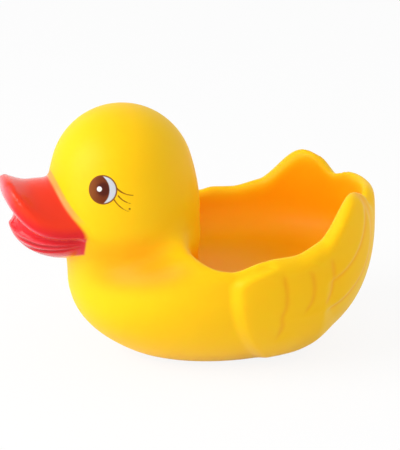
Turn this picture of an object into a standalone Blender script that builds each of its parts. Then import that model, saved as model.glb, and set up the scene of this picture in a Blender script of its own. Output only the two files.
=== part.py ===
"""A rubber duck with an open back, modelled in Blender at its real size.

The duck is one hollow vinyl moulding: boat-shaped body, round head, broad bill, folded wings and a
raised tail, with a basin let into the back. It faces -Y, +Z is up, and its flat belly rests on Z = 0.
Rough blanks from primitives are merged, and their skin is then eased onto the finished form.
"""

import math

import bmesh
import bpy
import numpy as np
from mathutils import Matrix

MM = 0.001

# Body, a boat whose widest line climbs towards the tail
BODY_HALF_LENGTH = 64.1
BODY_HALF_WIDTH = 52.5
BODY_WIDEST_HEIGHT = 41.6
BODY_SHEER = 0.165
BELLY_CUT = 7.0
BELLY_ROUNDING = 10.0
BASE_ROUNDING = 4.0
BASE_TRIM = 0.3
CHEST_FULLNESS = 2.0
STERN_FULLNESS = 2.25
FULLNESS_SPAN = (-50.0, 50.0)
SIDE_LEAN_HEIGHT = 75.0
BODY_SCALE = 50.0

# Upper edge of the body, read from the chest back to the tail
SHOULDER_HEIGHT = 49.5
RIM_LOW_HEIGHT = 48.2
RIM_MID_RISE = 3.8
WING_SLOPE_RISE = 4.5
WING_TIP_RISE = 15.0
TAIL_DROP = 3.9
RIM_MID_SPAN = (-9.0, 6.0)
WING_SLOPE_SPAN = (17.0, 34.0)
WING_TIP_SPAN = (29.0, 46.0)
TAIL_DROP_SPAN = (52.0, 62.0)
SHOULDER_SPAN = (-10.0, -30.0)
COLLAR_RISE = 4.2
COLLAR_BACKSET = 23.5
COLLAR_REACH = 9.0
RIM_ROUNDING = 5.0
SHOULDER_ROUNDING = 14.0
TIP_ROUNDING = 8.0
SHOULDER_ROUNDING_SPAN = (-10.0, -26.0)
TIP_ROUNDING_SPAN = (0.0, 12.0)
TAIL_ROUNDING_SPAN = (54.0, 44.0)
ROUNDING_LOSS = 0.12
TAIL_NOTCH = 6.0
TAIL_NOTCH_ASIDE = 21.0
TAIL_NOTCH_REACH = 6.5
TAIL_NOTCH_SPAN = (46.0, 56.0)

# Basin in the back
BASIN_PLAN_SHARE = 0.90
BASIN_TAIL_SHARE = 0.925
BASIN_TAIL_SPAN = (46.0, 60.0)
PLAN_SCALE = 54.0
BASIN_FLOOR_HEIGHT = 34.0
BASIN_FLOOR_ROUNDING = 16.0
BASIN_FRONT = -22.0
BASIN_FRONT_ROUNDING = 12.0
BASIN_NECK_GAP = 4.5
BASIN_NECK_ROUNDING = 8.0
BASIN_LIP_ROUNDING = 4.0

# Head, a round crown over fuller cheeks, and the neck under it
CROWN_RADIUS = 29.2
CROWN_BACKSET = 41.9
CROWN_HEIGHT = 76.9
CHEEK_RADIUS = 31.3
CHEEK_HALF_HEIGHT = 26.7
CHEEK_BACKSET = 41.7
CHEEK_HEIGHT = 64.0
NECK_RADIUS = 23.0
NECK_BACKSET = 37.5
NECK_WIDENING = 1.08
NECK_HEIGHT = 46.0
NECK_HALF_HEIGHT = 14.0
NECK_ROUNDING = 6.0
CROWN_BLEND = 6.0
NECK_BLEND = 8.0
SHOULDER_BLEND = 7.0
COLLAR_BLEND = 12.0
COLLAR_SPAN = (-45.0, -22.0)

# Bill, an arched upper half over a scooped lower half
BILL_ROOT = 62.0
BILL_LENGTH = 29.7
BILL_HALF_WIDTH = 24.0
BILL_BACK = 48.0
BILL_SQUARENESS = 2.5
BILL_REACH_LIMIT = 1.25
BILL_ARCH_LIMIT = 1.3
BILL_TOP_HEIGHT = 77.3
BILL_TIP_RISE = 2.0
BILL_TIP_SPAN = (0.6, 1.0)
BILL_LIP_HEIGHT = 58.0
BILL_LIP_SWEEP = 13.5
BILL_LIP_CURL = 4.0
BILL_LIP_THICKNESS = 3.5
BILL_ROUNDING = 3.0
BILL_BLEND = 2.5
LOWER_BILL_HALF_WIDTH = 22.0
LOWER_BILL_LENGTH = 23.2
LOWER_BILL_DEPTH = 17.4
LOWER_BILL_BACKSET = 66.0
LOWER_BILL_HEIGHT = 61.8
LOWER_BILL_LIFT = 0.25
LOWER_LIP_SWEEP = 7.0
MOUTH_GAP = 2.2
MOUTH_BLEND = 0.8
LOWER_LIP_ROUNDING = 3.0
TONGUE_BLEND = 2.0
TONGUE_HALF_WIDTH = 20.5
TONGUE_LENGTH = 21.5
TONGUE_HALF_HEIGHT = 10.0
TONGUE_RAISE = 1.5

# Wings, folded against the sides
WING_THICKNESS = 2.8
WING_FRONT = -11.0
WING_FRONT_CURVE = 0.0118
WING_SHOULDER_CURVE = 0.022
WING_SHOULDER_SETBACK = 15.0
WING_FRONT_HEIGHT = 41.0
WING_FRONT_ROUNDING = 6.0
WING_BELLY_START = -1.0
WING_BELLY_END = 6.0
WING_STERN_FADE = 16.0
WING_STERN_SPAN = (22.0, 52.0)
FEATHER_DEPTH = 1.2
FEATHER_DIP_SHARE = 0.4
FEATHER_DIP_RAMP = 4.0
FEATHER_STEP = 0.9
FEATHER_RAMP = 7.0
FEATHER_BOW = 2.2
FEATHER_FADE_START = 0.7
FEATHER_FADE_END = 1.15
FEATHER_EDGES = (
    # rear edge, height of its middle, half of its height
    (12.3, 32.0, 16.0),
    (24.4, 37.5, 10.0),
    (33.8, 40.0, 11.0),
)
FEATHER_DENT = 1.9
FEATHER_DENT_HEIGHT = 28.0
FEATHER_DENT_REACH = 3.5
TIP_STEP_SHARE = 0.38
TIP_STEP = 0.8
TIP_START = 31.0
TIP_FADE = 4.0
TIP_LOW_FADE = 9.0
TIP_LOW_SPAN = (30.0, 12.0)
TIP_EDGES = (
    # along, height, radius
    (27.5, 62.5, 23.2),
    (30.5, 52.0, 25.5),
)

# Skin
WALL = 2.4
WALL_UNDER_WING = 0.6
WALL_AROUND_BASIN = 1.0
VOID_TOP_GAP = 2.0
VOID_ROUNDING = 6.0
VOID_BASIN_ROUNDING = 4.0
VOID_FLOOR_ROUNDING = 2.0
VOID_SCALE = 48.0
VENT_RADIUS = 4.0
VENT_ALONG = 14.0

# Fineness of the mesh
BLANK_VOXEL = 2.4
BALL_SEGMENTS = 48
BALL_RINGS = 32
UPRIGHT_SEGMENTS = 64
OUTLINE_POINTS = 61
CUTTER_MARGIN = 20.0
CUTTER_TOP = 200.0
BASIN_BLANK_BEVEL = 12.0
BLANK_SIDE_LIMIT = 0.1
SKIN_VOXEL = 1.5
VOID_VOXEL = 3.0
EASE_ROUNDS = 10
EASE_LIMIT = 1.5
EASE_LEAST_SLOPE = 0.04
SLOPE_STEP = 0.05
SKIN_TRIANGLES = 9200
VOID_TRIANGLES = 2000
SNAP = 0.02


def clear_scene():
    for obj in list(bpy.data.objects):
        bpy.data.objects.remove(obj, do_unlink=True)


def collection(name):
    made = bpy.data.collections.new(name)
    bpy.context.scene.collection.children.link(made)
    return made


def vinyl(name, colour, roughness):
    made = bpy.data.materials.new(name)
    made.use_nodes = True
    shader = made.node_tree.nodes["Principled BSDF"]
    shader.inputs["Base Color"].default_value = (*colour, 1.0)
    shader.inputs["Roughness"].default_value = roughness
    shader.inputs["Metallic"].default_value = 0.0
    made.diffuse_color = (*colour, 1.0)
    return made


# Blending of forms, all in millimetres and negative inside


def ramp(start, end, value):
    t = np.clip((value - start) / (end - start), 0.0, 1.0)
    return t * t * (3.0 - 2.0 * t)


def merge(first, second, radius):
    share = np.clip(0.5 + 0.5 * (second - first) / radius, 0.0, 1.0)
    return second + (first - second) * share - radius * share * (1.0 - share)


def meet(first, second, radius):
    return -merge(-first, -second, radius)


def swell(value, middle, width):
    return np.exp(-(((value - middle) / width) ** 2))


def ellipsoid(x, y, z, centre, radii):
    u = (x - centre[0]) / radii[0]
    v = (y - centre[1]) / radii[1]
    w = (z - centre[2]) / radii[2]
    reach = np.sqrt(u * u + v * v + w * w)
    slope = np.sqrt((u / radii[0]) ** 2 + (v / radii[1]) ** 2 + (w / radii[2]) ** 2)
    return reach * (reach - 1.0) / np.maximum(slope, 1e-9)


def rim_height(y):
    rise = RIM_MID_RISE * ramp(*RIM_MID_SPAN, y) + WING_SLOPE_RISE * ramp(*WING_SLOPE_SPAN, y)
    tip = WING_TIP_RISE * ramp(*WING_TIP_SPAN, y) - TAIL_DROP * ramp(*TAIL_DROP_SPAN, y)
    shoulder = (SHOULDER_HEIGHT - RIM_LOW_HEIGHT) * ramp(*SHOULDER_SPAN, y)
    collar = COLLAR_RISE * swell(y, -COLLAR_BACKSET, COLLAR_REACH)
    return RIM_LOW_HEIGHT + rise + tip + shoulder + collar


def rim_edge(x, y):
    """The upper edge with a notch between each wing tip and the tail."""
    notch = TAIL_NOTCH * swell(np.abs(x), TAIL_NOTCH_ASIDE, TAIL_NOTCH_REACH)
    return rim_height(y) - notch * ramp(*TAIL_NOTCH_SPAN, y)


def body_reach(x, y, z, inset=0.0):
    """How far out a point lies, 1 on the side of the body, and the same in plan alone."""
    fullness = CHEST_FULLNESS + (STERN_FULLNESS - CHEST_FULLNESS) * ramp(*FULLNESS_SPAN, y)
    widest = BODY_WIDEST_HEIGHT + BODY_SHEER * y
    depth = widest + BELLY_CUT - BELLY_ROUNDING * (x / BODY_HALF_WIDTH) ** 2 - inset
    below = (widest - z) / depth
    above = (z - widest) / SIDE_LEAN_HEIGHT
    plan = np.sqrt((x / (BODY_HALF_WIDTH - inset)) ** 2 + (y / (BODY_HALF_LENGTH - inset)) ** 2)
    level = np.where(z < widest, below, above)
    return (plan**fullness + level**fullness) ** (1.0 / fullness), plan


def feather_edge(y, z, edge, middle, half):
    """How far a point lies behind a feather's rear edge, and how much of that edge shows there."""
    bow = FEATHER_BOW * ((z - middle) / half) ** 2
    dent = FEATHER_DENT * swell(z, FEATHER_DENT_HEIGHT, FEATHER_DENT_REACH)
    hidden = ramp(half * FEATHER_FADE_START, half * FEATHER_FADE_END, np.abs(z - middle))
    return y - (edge - bow - dent), 1.0 - hidden


def feathers(y, z):
    """Each feather's rear edge drops by a small step that the next feather rises out of."""
    cut = 0.0
    for edge, middle, half in FEATHER_EDGES:
        past, shown = feather_edge(y, z, edge, middle, half)
        dip = FEATHER_DIP_SHARE * np.exp(np.minimum(past, 0.0) / FEATHER_DIP_RAMP)
        step = (1.0 - FEATHER_DIP_SHARE) * ramp(0.0, FEATHER_STEP, past)
        drop = (dip + step) * np.exp(-np.maximum(past, 0.0) / FEATHER_RAMP)
        cut = cut + FEATHER_DEPTH * drop * shown
    return cut


def wing_relief(y, z):
    over = np.maximum(z - WING_FRONT_HEIGHT, 0.0)
    under = np.minimum(z - WING_FRONT_HEIGHT, 0.0)
    setback = np.minimum(WING_SHOULDER_CURVE * over**3, WING_SHOULDER_SETBACK)
    front = WING_FRONT + WING_FRONT_CURVE * under**2 + setback
    rise = ramp(0.0, WING_FRONT_ROUNDING, y - front)
    foot = ramp(WING_BELLY_START, WING_BELLY_END + WING_STERN_FADE * ramp(*WING_STERN_SPAN, y), z)
    fade = TIP_FADE + TIP_LOW_FADE * ramp(*TIP_LOW_SPAN, z)
    past_feathers = ramp(TIP_START, TIP_START + fade, y)
    left = 1.0
    for along, height, radius in TIP_EDGES:
        beyond = np.sqrt((y - along) ** 2 + (z - height) ** 2) - radius
        left = left - TIP_STEP_SHARE * past_feathers * ramp(-TIP_STEP, TIP_STEP, beyond)
    return WING_THICKNESS * rise * foot * left - feathers(y, z) * foot


def basin_form(x, y, z, grow=0.0):
    _, plan = body_reach(x, y, z)
    share = BASIN_PLAN_SHARE + (BASIN_TAIL_SHARE - BASIN_PLAN_SHARE) * ramp(*BASIN_TAIL_SPAN, y)
    side = (plan - share) * PLAN_SCALE
    bowl = meet(side, BASIN_FLOOR_HEIGHT - z, BASIN_FLOOR_ROUNDING)
    from_neck = np.sqrt((x / NECK_WIDENING) ** 2 + (y + NECK_BACKSET + BASIN_NECK_GAP) ** 2)
    bowl = meet(bowl, NECK_RADIUS + BASIN_NECK_GAP - from_neck, BASIN_NECK_ROUNDING)
    return meet(bowl, BASIN_FRONT - y, BASIN_FRONT_ROUNDING) - grow


def head_form(x, y, z):
    crown = ellipsoid(x, y, z, (0.0, -CROWN_BACKSET, CROWN_HEIGHT), (CROWN_RADIUS,) * 3)
    radii = (CHEEK_RADIUS, CHEEK_RADIUS, CHEEK_HALF_HEIGHT)
    cheeks = ellipsoid(x, y, z, (0.0, -CHEEK_BACKSET, CHEEK_HEIGHT), radii)
    round_neck = np.sqrt((x / NECK_WIDENING) ** 2 + (y + NECK_BACKSET) ** 2) - NECK_RADIUS
    neck = meet(round_neck, np.abs(z - NECK_HEIGHT) - NECK_HALF_HEIGHT, NECK_ROUNDING)
    return merge(merge(crown, cheeks, CROWN_BLEND), neck, NECK_BLEND)


def bill_form(x, y, z):
    side = np.abs(x)
    along = np.clip((-BILL_ROOT - y) / BILL_LENGTH, 0.0, BILL_REACH_LIMIT)
    lip = BILL_LIP_HEIGHT + BILL_LIP_SWEEP * along**BILL_LIP_CURL
    across = (side / BILL_HALF_WIDTH) ** BILL_SQUARENESS
    plan = (across + along**BILL_SQUARENESS) ** (1.0 / BILL_SQUARENESS)
    top = BILL_TOP_HEIGHT + BILL_TIP_RISE * ramp(*BILL_TIP_SPAN, along)
    arch = np.clip(side / BILL_HALF_WIDTH, 0.0, BILL_ARCH_LIMIT) ** 2
    roof = top - (top - lip - BILL_LIP_THICKNESS) * arch
    outside = (plan - 1.0) * BILL_HALF_WIDTH
    upper = meet(meet(z - roof, lip - z, BILL_ROUNDING), outside, BILL_ROUNDING)
    centre = (0.0, -LOWER_BILL_BACKSET, LOWER_BILL_HEIGHT)
    lifted = z - LOWER_BILL_LIFT * np.maximum(y + LOWER_BILL_BACKSET, 0.0)
    scoop = ellipsoid(x, y, lifted, centre, (LOWER_BILL_HALF_WIDTH, LOWER_BILL_LENGTH, LOWER_BILL_DEPTH))
    lower_lip = BILL_LIP_HEIGHT - MOUTH_GAP + LOWER_LIP_SWEEP * along**BILL_LIP_CURL
    lower = meet(scoop, z - lower_lip, LOWER_LIP_ROUNDING)
    centre = (0.0, -LOWER_BILL_BACKSET, BILL_LIP_HEIGHT + TONGUE_RAISE)
    tongue = ellipsoid(x, y, z, centre, (TONGUE_HALF_WIDTH, TONGUE_LENGTH, TONGUE_HALF_HEIGHT))
    halves = merge(upper, lower, MOUTH_BLEND)
    return np.maximum(merge(halves, tongue, TONGUE_BLEND), y + BILL_BACK)


def body_form(x, y, z):
    reach, _ = body_reach(x, y, z)
    side = (reach - 1.0) * BODY_SCALE - wing_relief(y, z)
    soft = RIM_ROUNDING + (SHOULDER_ROUNDING - RIM_ROUNDING) * ramp(*SHOULDER_ROUNDING_SPAN, y)
    at_tips = ramp(*TIP_ROUNDING_SPAN, y) * ramp(*TAIL_ROUNDING_SPAN, y)
    soft = soft + (TIP_ROUNDING - RIM_ROUNDING) * at_tips
    shell = meet(side, z - rim_edge(x, y) - ROUNDING_LOSS * soft, soft)
    return meet(meet(shell, -basin_form(x, y, z), BASIN_LIP_ROUNDING), -z - BASE_TRIM, BASE_ROUNDING)


def duck_form(p):
    x, y, z = p[:, 0], p[:, 1], p[:, 2]
    fillet = SHOULDER_BLEND + (COLLAR_BLEND - SHOULDER_BLEND) * ramp(*COLLAR_SPAN, y)
    whole = merge(body_form(x, y, z), head_form(x, y, z), fillet)
    return merge(whole, bill_form(x, y, z), BILL_BLEND)


def void_form(p):
    """The hollow inside: a wall's thickness in from the skin, and clear of the basin and the lips."""
    x, y, z = p[:, 0], p[:, 1], p[:, 2]
    reach, _ = body_reach(x, y, z, WALL + WALL_UNDER_WING)
    top = z - (SHOULDER_HEIGHT - WALL - VOID_TOP_GAP)
    body = meet((reach - 1.0) * VOID_SCALE, top, VOID_ROUNDING)
    basin = -basin_form(x, y, z, WALL + WALL_AROUND_BASIN)
    body = meet(body, basin, VOID_BASIN_ROUNDING)
    body = meet(body, WALL - z, VOID_FLOOR_ROUNDING)
    return merge(body, head_form(x, y, z) + WALL, VOID_ROUNDING)


# Blanks, rough solids close to the form


def ball(mesh, centre, radii):
    place = Matrix.Translation([c * MM for c in centre]) @ Matrix.Diagonal([*(r * MM for r in radii), 1.0])
    bmesh.ops.create_uvsphere(
        mesh, u_segments=BALL_SEGMENTS, v_segments=BALL_RINGS, radius=1.0, matrix=place
    )


def upright(mesh, centre, radii, half_height):
    size = [radii[0] * MM, radii[1] * MM, half_height * MM, 1.0]
    place = Matrix.Translation([c * MM for c in centre]) @ Matrix.Diagonal(size)
    bmesh.ops.create_cone(
        mesh, cap_ends=True, segments=UPRIGHT_SEGMENTS, radius1=1.0, radius2=1.0, depth=2.0, matrix=place
    )


def object_from(mesh, name, where):
    data = bpy.data.meshes.new(name)
    bmesh.ops.recalc_face_normals(mesh, faces=mesh.faces)
    mesh.to_mesh(data)
    mesh.free()
    made = bpy.data.objects.new(name, data)
    where.objects.link(made)
    return made


def as_cutter(obj):
    obj.hide_render = True
    obj.display_type = "WIRE"
    return obj


def boolean(obj, cutter, operation="DIFFERENCE"):
    cut = obj.modifiers.new(cutter.name, "BOOLEAN")
    cut.object = cutter
    cut.operation = operation
    cut.solver = "EXACT"


def rim_cutter(where, lower_by):
    """Everything above the body's upper edge, a side outline drawn through the whole width."""
    mesh = bmesh.new()
    reach = BODY_HALF_LENGTH + CUTTER_MARGIN
    steps = np.linspace(-reach, reach, OUTLINE_POINTS)
    width = BODY_HALF_WIDTH + CUTTER_MARGIN
    edge = [mesh.verts.new((-width * MM, y * MM, (rim_height(y) - lower_by) * MM)) for y in steps]
    corners = [mesh.verts.new((-width * MM, y * MM, CUTTER_TOP * MM)) for y in (reach, -reach)]
    face = mesh.faces.new(edge + corners)
    swept = bmesh.ops.extrude_face_region(mesh, geom=[face])
    moved = [part for part in swept["geom"] if isinstance(part, bmesh.types.BMVert)]
    bmesh.ops.translate(mesh, verts=moved, vec=(2.0 * width * MM, 0.0, 0.0))
    return as_cutter(object_from(mesh, "above_the_rim", where))


def basin_cutter(where, grow):
    mesh = bmesh.new()
    radii = [BASIN_PLAN_SHARE * size + grow for size in (BODY_HALF_WIDTH, BODY_HALF_LENGTH)]
    floor = BASIN_FLOOR_HEIGHT - grow
    upright(mesh, (0.0, 0.0, floor + 0.5 * CUTTER_TOP), radii, 0.5 * CUTTER_TOP)
    lower = [e for e in mesh.edges if all(v.co.z < (floor + 1.0) * MM for v in e.verts)]
    bmesh.ops.bevel(
        mesh, geom=lower, offset=BASIN_BLANK_BEVEL * MM, segments=4, profile=0.5, affect="EDGES",
        clamp_overlap=True,
    )
    front = (BASIN_FRONT - grow) * MM
    sides = list(mesh.verts) + list(mesh.edges) + list(mesh.faces)
    cut = bmesh.ops.bisect_plane(
        mesh, geom=sides, plane_co=(0.0, front, 0.0), plane_no=(0.0, -1.0, 0.0), clear_outer=True
    )
    rim = [part for part in cut["geom_cut"] if isinstance(part, bmesh.types.BMEdge)]
    bmesh.ops.holes_fill(mesh, edges=rim, sides=0)
    return as_cutter(object_from(mesh, "basin_room", where))


def body_blank(where, inset, basin_grow, lower_by):
    mesh = bmesh.new()
    depth = BODY_WIDEST_HEIGHT + BELLY_CUT - inset
    radii = (BODY_HALF_WIDTH - inset, BODY_HALF_LENGTH - inset, depth)
    ball(mesh, (0.0, 0.0, BODY_WIDEST_HEIGHT), radii)
    for vert in mesh.verts:
        share = (vert.co.z / MM - BODY_WIDEST_HEIGHT) / depth
        if share > 0.0:
            upright_share = 1.0 / math.sqrt(max(1.0 - share * share, BLANK_SIDE_LIMIT))
            vert.co.x *= upright_share
            vert.co.y *= upright_share
    blank = object_from(mesh, "body_blank", where)
    boolean(blank, rim_cutter(where, lower_by))
    boolean(blank, basin_cutter(where, basin_grow))
    return as_cutter(blank)


def head_blank(mesh, inset):
    ball(mesh, (0.0, -CROWN_BACKSET, CROWN_HEIGHT), (CROWN_RADIUS - inset,) * 3)
    radii = (CHEEK_RADIUS - inset, CHEEK_RADIUS - inset, CHEEK_HALF_HEIGHT - inset)
    ball(mesh, (0.0, -CHEEK_BACKSET, CHEEK_HEIGHT), radii)
    radii = (NECK_RADIUS * NECK_WIDENING - inset, NECK_RADIUS - inset)
    upright(mesh, (0.0, -NECK_BACKSET, NECK_HEIGHT), radii, NECK_HALF_HEIGHT)


def bill_blank(mesh):
    top = BILL_TOP_HEIGHT - BILL_LIP_HEIGHT
    ball(mesh, (0.0, -BILL_ROOT, BILL_LIP_HEIGHT + 0.45 * top), (BILL_HALF_WIDTH, BILL_LENGTH, 0.5 * top))
    radii = (LOWER_BILL_HALF_WIDTH, LOWER_BILL_LENGTH, LOWER_BILL_DEPTH)
    ball(mesh, (0.0, -LOWER_BILL_BACKSET, LOWER_BILL_HEIGHT), radii)


def evaluated_copy(obj, name, where):
    bpy.context.view_layer.update()
    graph = bpy.context.evaluated_depsgraph_get()
    data = bpy.data.meshes.new_from_object(obj.evaluated_get(graph))
    made = bpy.data.objects.new(name, data)
    where.objects.link(made)
    return made


def remeshed(obj, name, where, voxel):
    skin = obj.modifiers.new("even_skin", "REMESH")
    skin.mode = "VOXEL"
    skin.voxel_size = voxel * MM
    return as_cutter(evaluated_copy(obj, name, where))


# Easing the skin onto the form


def points_of(obj):
    flat = np.empty(len(obj.data.vertices) * 3)
    obj.data.vertices.foreach_get("co", flat)
    return flat.reshape(-1, 3) / MM


def set_points(obj, points):
    obj.data.vertices.foreach_set("co", (points * MM).reshape(-1))
    obj.data.update()


def slope_of(form, points):
    sides = []
    for axis in np.eye(3) * SLOPE_STEP:
        sides.append((form(points + axis) - form(points - axis)) / (2.0 * SLOPE_STEP))
    return np.stack(sides, axis=1)


def ease(obj, form, fixed_plane=False):
    points = points_of(obj)
    middle = np.abs(points[:, 0]) < SNAP
    for _ in range(EASE_ROUNDS):
        slope = slope_of(form, points)
        if fixed_plane:
            slope[middle, 0] = 0.0
        steep = np.maximum((slope**2).sum(axis=1), EASE_LEAST_SLOPE)
        move = -slope * (form(points) / steep)[:, None]
        length = np.linalg.norm(move, axis=1)
        points += move * np.minimum(1.0, EASE_LIMIT / np.maximum(length, 1e-9))[:, None]
    if fixed_plane:
        points[middle, 0] = 0.0
    set_points(obj, points)


def left_half(obj):
    mesh = bmesh.new()
    mesh.from_mesh(obj.data)
    parts = list(mesh.verts) + list(mesh.edges) + list(mesh.faces)
    bmesh.ops.bisect_plane(
        mesh, geom=parts, dist=1e-7, plane_co=(0.0, 0.0, 0.0), plane_no=(-1.0, 0.0, 0.0), clear_outer=True
    )
    bmesh.ops.triangulate(mesh, faces=mesh.faces)
    mesh.to_mesh(obj.data)
    mesh.free()


def thinned(obj, name, where, triangles):
    fewer = obj.modifiers.new("fewer_faces", "DECIMATE")
    fewer.decimate_type = "COLLAPSE"
    fewer.ratio = min(1.0, 0.5 * triangles / len(obj.data.polygons))
    fewer.use_collapse_triangulate = True
    return as_cutter(evaluated_copy(obj, name, where))


def snap_open_edge(obj):
    mesh = bmesh.new()
    mesh.from_mesh(obj.data)
    for edge in mesh.edges:
        if edge.is_boundary:
            for vert in edge.verts:
                vert.co.x = 0.0
    mesh.to_mesh(obj.data)
    mesh.free()


def mirrored(obj, name, where):
    both = obj.modifiers.new("other_side", "MIRROR")
    both.use_axis[0] = True
    both.use_mirror_merge = True
    both.merge_threshold = 0.00001
    return evaluated_copy(obj, name, where)


def flatten_base(obj):
    """Trims the belly to one flat face on Z = 0."""
    mesh = bmesh.new()
    mesh.from_mesh(obj.data)
    parts = list(mesh.verts) + list(mesh.edges) + list(mesh.faces)
    cut = bmesh.ops.bisect_plane(
        mesh, geom=parts, plane_co=(0.0, 0.0, 0.0), plane_no=(0.0, 0.0, -1.0), clear_outer=True
    )
    rim = [part for part in cut["geom_cut"] if isinstance(part, bmesh.types.BMEdge)]
    bmesh.ops.holes_fill(mesh, edges=rim, sides=0)
    bmesh.ops.recalc_face_normals(mesh, faces=mesh.faces)
    mesh.to_mesh(obj.data)
    mesh.free()


def eased_solid(blank, name, form, voxels, triangles, helpers, where):
    coarse = remeshed(blank, name + "_coarse", helpers, voxels[0])
    ease(coarse, form)
    fine = remeshed(coarse, name + "_fine", helpers, voxels[1])
    ease(fine, form)
    left_half(fine)
    half = thinned(fine, name + "_half", helpers, triangles)
    snap_open_edge(half)
    ease(half, form, fixed_plane=True)
    return mirrored(half, name, where)


def joined_blank(name, shapes, body, helpers):
    mesh = bmesh.new()
    shapes(mesh)
    bpy.context.view_layer.update()
    graph = bpy.context.evaluated_depsgraph_get()
    solid = body.evaluated_get(graph).to_mesh()
    mesh.from_mesh(solid)
    return as_cutter(object_from(mesh, name, helpers))


def skin_solid(helpers, where):
    body = body_blank(helpers, 0.0, 0.0, 0.0)

    def shapes(mesh):
        head_blank(mesh, 0.0)
        bill_blank(mesh)

    blank = joined_blank("skin_blank", shapes, body, helpers)
    voxels = (BLANK_VOXEL, SKIN_VOXEL)
    return eased_solid(blank, "duck", duck_form, voxels, SKIN_TRIANGLES, helpers, where)


def void_solid(helpers):
    grow = WALL + WALL_AROUND_BASIN
    body = body_blank(helpers, WALL, grow, grow + VOID_TOP_GAP)

    def shapes(mesh):
        head_blank(mesh, WALL)

    blank = joined_blank("void_blank", shapes, body, helpers)
    voxels = (BLANK_VOXEL, VOID_VOXEL)
    return as_cutter(eased_solid(blank, "hollow", void_form, voxels, VOID_TRIANGLES, helpers, helpers))


def vent_cutter(where):
    mesh = bmesh.new()
    upright(mesh, (0.0, VENT_ALONG, 0.0), (VENT_RADIUS, VENT_RADIUS), 3.0 * WALL)
    return as_cutter(object_from(mesh, "vent", where))


def main():
    clear_scene()
    parts = collection("rubber_duck")
    helpers = collection("cutters_and_blanks")
    duck = skin_solid(helpers, parts)
    flatten_base(duck)
    boolean(duck, void_solid(helpers))
    boolean(duck, vent_cutter(helpers))
    duck.data.shade_smooth()
    duck.data.materials.append(vinyl("soft_vinyl_yellow", (0.95, 0.62, 0.02), 0.35))


main()
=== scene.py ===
"""A bath duck of soft yellow vinyl with a sprayed red bill and printed eyes.

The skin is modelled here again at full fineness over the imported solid, with the folds of the bill,
the feather steps of the wings and the edges of the paint. All sizes are millimetres in the duck's own
frame: it faces -Y, +Z is up, and its flat belly rests on Z = 0.
"""

import math

import bmesh
import bpy
import numpy as np
from mathutils import Matrix, Vector


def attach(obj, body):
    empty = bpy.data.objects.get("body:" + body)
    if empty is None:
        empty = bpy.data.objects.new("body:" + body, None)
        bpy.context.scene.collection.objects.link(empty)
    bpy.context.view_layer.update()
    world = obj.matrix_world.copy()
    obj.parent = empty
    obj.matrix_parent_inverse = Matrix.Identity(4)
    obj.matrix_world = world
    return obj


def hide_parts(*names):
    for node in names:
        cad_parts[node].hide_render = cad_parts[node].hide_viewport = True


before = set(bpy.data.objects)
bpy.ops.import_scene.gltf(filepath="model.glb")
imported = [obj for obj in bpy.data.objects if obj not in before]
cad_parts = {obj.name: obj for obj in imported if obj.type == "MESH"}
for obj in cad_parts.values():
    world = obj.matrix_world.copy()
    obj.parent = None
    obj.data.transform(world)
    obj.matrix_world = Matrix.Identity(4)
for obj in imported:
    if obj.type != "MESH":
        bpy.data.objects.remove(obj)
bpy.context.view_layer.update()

MM = 0.001
LEAST_DIVISOR = 1e-9

# Body, a boat whose widest line climbs towards the tail
BODY_HALF_LENGTH = 64.1
BODY_HALF_WIDTH = 52.5
BODY_WIDEST_HEIGHT = 41.6
BODY_SHEER = 0.165
BELLY_CUT = 7.0
BELLY_ROUNDING = 10.0
BASE_ROUNDING = 4.0
BASE_TRIM = 0.3
CHEST_FULLNESS = 2.0
STERN_FULLNESS = 2.25
FULLNESS_SPAN = (-50.0, 50.0)
SIDE_LEAN_HEIGHT = 75.0
BODY_SCALE = 50.0

# Upper edge of the body, read from the chest back to the tail
SHOULDER_HEIGHT = 49.5
RIM_LOW_HEIGHT = 48.2
RIM_MID_RISE = 3.8
WING_SLOPE_RISE = 4.5
WING_TIP_RISE = 15.0
TAIL_DROP = 3.9
RIM_MID_SPAN = (-9.0, 6.0)
WING_SLOPE_SPAN = (17.0, 34.0)
WING_TIP_SPAN = (29.0, 46.0)
TAIL_DROP_SPAN = (52.0, 62.0)
SHOULDER_SPAN = (-10.0, -30.0)
COLLAR_RISE = 4.2
COLLAR_BACKSET = 23.5
COLLAR_REACH = 9.0
RIM_ROUNDING = 5.0
SHOULDER_ROUNDING = 14.0
TIP_ROUNDING = 8.0
SHOULDER_ROUNDING_SPAN = (-10.0, -26.0)
TIP_ROUNDING_SPAN = (0.0, 12.0)
TAIL_ROUNDING_SPAN = (54.0, 44.0)
ROUNDING_LOSS = 0.12
TAIL_NOTCH = 6.0
TAIL_NOTCH_ASIDE = 21.0
TAIL_NOTCH_REACH = 6.5
TAIL_NOTCH_SPAN = (46.0, 56.0)

# Basin in the back
BASIN_PLAN_SHARE = 0.90
BASIN_TAIL_SHARE = 0.925
BASIN_TAIL_SPAN = (46.0, 60.0)
PLAN_SCALE = 54.0
BASIN_FLOOR_HEIGHT = 34.0
BASIN_FLOOR_ROUNDING = 16.0
BASIN_FRONT = -22.0
BASIN_FRONT_ROUNDING = 12.0
BASIN_NECK_GAP = 4.5
BASIN_NECK_ROUNDING = 8.0
BASIN_LIP_ROUNDING = 4.0

# Head, a round crown over fuller cheeks, and the neck under it
CROWN_RADIUS = 29.2
CROWN_BACKSET = 41.9
CROWN_HEIGHT = 76.9
CHEEK_RADIUS = 31.3
CHEEK_HALF_HEIGHT = 26.7
CHEEK_BACKSET = 41.7
CHEEK_HEIGHT = 64.0
NECK_RADIUS = 23.0
NECK_BACKSET = 37.5
NECK_WIDENING = 1.08
NECK_HEIGHT = 46.0
NECK_HALF_HEIGHT = 14.0
NECK_ROUNDING = 6.0
CROWN_BLEND = 6.0
NECK_BLEND = 8.0
SHOULDER_BLEND = 7.0
COLLAR_BLEND = 12.0
COLLAR_SPAN = (-45.0, -22.0)

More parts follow.
